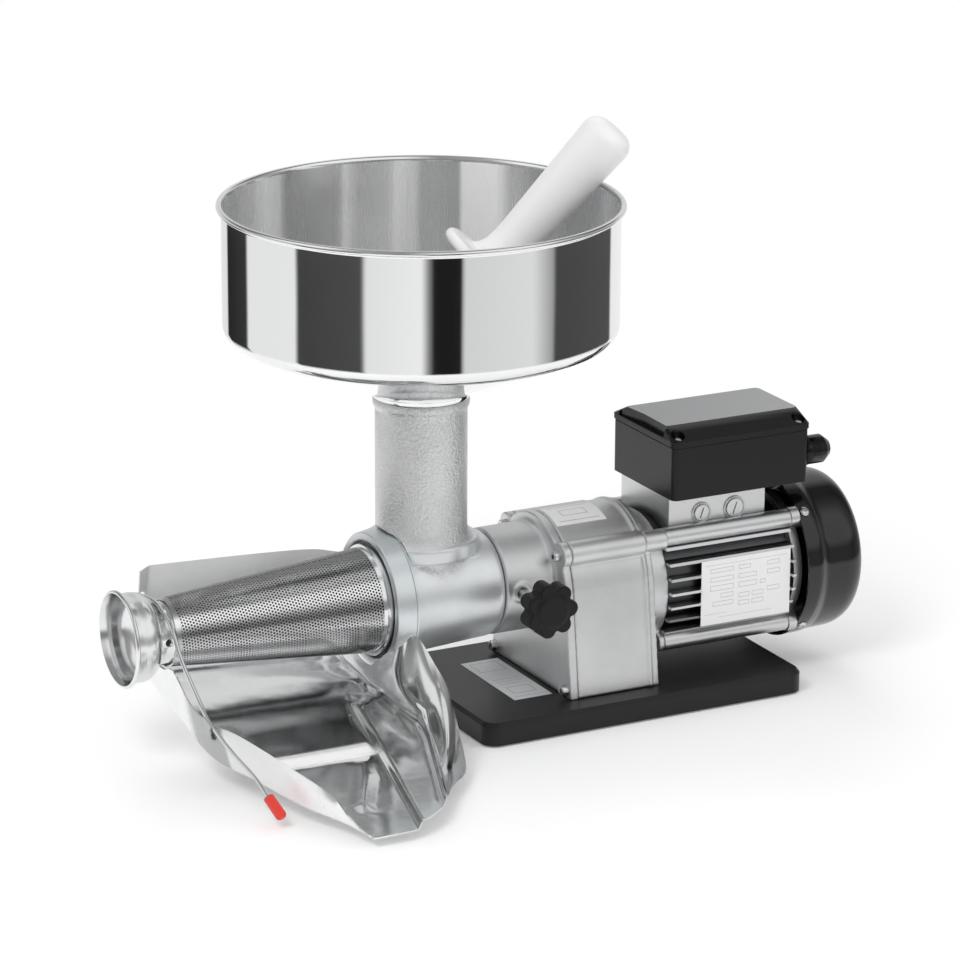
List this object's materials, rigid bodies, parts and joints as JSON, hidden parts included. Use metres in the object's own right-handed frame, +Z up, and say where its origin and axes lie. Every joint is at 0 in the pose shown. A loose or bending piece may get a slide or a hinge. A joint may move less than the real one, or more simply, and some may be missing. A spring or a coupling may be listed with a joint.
{
  "type": "electric tomato press",
  "caption": "Electric tomato press: geared motor on a base plate, screw press with perforated cone, hopper, pestle and juice tray.",
  "frame": {"origin": "middle of the bounding box at the height of the table", "axes": "+Z up, +X along the machine from the waste outlet to the motor"},
  "size_m": [0.619, 0.3847, 0.4652],
  "materials": {
    "black_metal": "satin",
    "rubber": "matte",
    "zinc_steel": "satin",
    "cast_alloy": "rough cast",
    "stainless": "polished",
    "paper_label": "matte",
    "silver_label": "satin",
    "copper_wire": "enamelled",
    "black_plastic": "satin",
    "gloss_black": "gloss",
    "ivory_plastic": "satin",
    "white_plastic": "smooth",
    "red_plastic": "smooth"
  },
  "bodies": {
    "machine": {"base_plate": "black_metal", "rubber_feet": "rubber", "base_bolts": "zinc_steel", "base_label": "silver_label", "gearbox_housing": "cast_alloy", "gearbox_cover": "cast_alloy", "cover_screws": "zinc_steel", "gearbox_label": "paper_label", "output_bearings": "zinc_steel", "shaft_seal": "rubber", "layshaft_bearings": "zinc_steel", "motor_shield": "cast_alloy", "motor_frame": "cast_alloy", "end_shield": "cast_alloy", "motor_bearings": "zinc_steel", "stator_core": "zinc_steel", "stator_windings": "copper_wire", "fan_cover": "gloss_black", "fan_cover_screws": "zinc_steel", "rating_label": "paper_label", "blanking_plugs": "zinc_steel", "terminal_box": "black_plastic", "terminal_block": "ivory_plastic", "capacitor": "silver_label", "lid_gasket": "rubber", "terminal_lid": "black_plastic", "lid_screws": "zinc_steel", "cable_gland": "black_plastic"},
    "rotor": {"rotor_shaft": "zinc_steel", "rotor_core": "zinc_steel", "motor_pinion": "zinc_steel", "fan": "black_plastic"},
    "intermediate_shaft": {"layshaft": "zinc_steel", "middle_gear": "zinc_steel"},
    "drive_shaft": {"output_shaft": "zinc_steel", "output_gear": "zinc_steel"},
    "head": {"press_body": "cast_alloy", "thrust_washer": "ivory_plastic"},
    "screw": {"auger": "stainless"},
    "bowl": {"hopper": "stainless"},
    "pusher": {"pestle": "white_plastic"},
    "strainer": {"filter_cone": "stainless", "filter_collar": "stainless", "outlet_cup": "stainless"},
    "ring": {"ring_nut": "cast_alloy"},
    "tray": {"drip_tray": "stainless"},
    "bail": {"wire_bail": "zinc_steel", "bail_grip": "red_plastic"},
    "knob": {"clamp_stud": "zinc_steel", "clamp_knob": "black_plastic"}
  },
  "joints": [
    {"name": "rotor_spin", "type": "hinge", "parent": "machine", "child": "rotor", "pos_m": [0.18995, 0.03738, 0.089], "axis": [1, 0, 0], "continuous": true},
    {"name": "layshaft_spin", "type": "hinge", "parent": "machine", "child": "intermediate_shaft", "pos_m": [0.06995, 0.05433, 0.05696], "axis": [1, 0, 0], "continuous": true},
    {"name": "output_spin", "type": "hinge", "parent": "machine", "child": "drive_shaft", "pos_m": [0.04395, 0.03738, 0.104], "axis": [1, 0, 0], "continuous": true},
    {"name": "head_slide", "type": "slide", "parent": "machine", "child": "head", "axis": [-1, 0, 0], "range_m": [0, 0.06]},
    {"name": "auger_turn", "type": "hinge", "parent": "head", "child": "screw", "pos_m": [-0.05605, 0.03738, 0.104], "axis": [1, 0, 0], "continuous": true},
    {"name": "hopper_lift", "type": "slide", "parent": "head", "child": "bowl", "axis": [0, 0, 1], "range_m": [0, 0.12]},
    {"name": "pestle_lift", "type": "slide", "parent": "bowl", "child": "pusher", "axis": [0, 0, 1], "range_m": [0, 0.15]},
    {"name": "filter_pull", "type": "slide", "parent": "head", "child": "strainer", "axis": [-1, 0, 0], "range_m": [0, 0.2]},
    {"name": "ring_turn", "type": "hinge", "parent": "strainer", "child": "ring", "pos_m": [-0.09305, 0.03738, 0.104], "axis": [1, 0, 0], "range_deg": [0, 720]},
    {"name": "tray_drop", "type": "slide", "parent": "strainer", "child": "tray", "axis": [0, 0, -1], "range_m": [0, 0.0056]},
    {"name": "bail_swing", "type": "hinge", "parent": "tray", "child": "bail", "pos_m": [-0.26945, 0.08338, 0.116], "axis": [-1, 0, 0], "range_deg": [0, 100]},
    {"name": "knob_turn", "type": "hinge", "parent": "machine", "child": "knob", "pos_m": [0.01025, -0.03362, 0.105], "axis": [0, 1, 0], "range_deg": [0, 720]}
  ],
  "couplings": [
    {"joint": "layshaft_spin", "follows": "rotor_spin", "ratio": -0.31818},
    {"joint": "output_spin", "follows": "rotor_spin", "ratio": 0.12374},
    {"joint": "auger_turn", "follows": "rotor_spin", "ratio": 0.12374},
    {"joint": "tray_drop", "follows": "bail_swing", "m_per_rad": 0.0032}
  ]
}
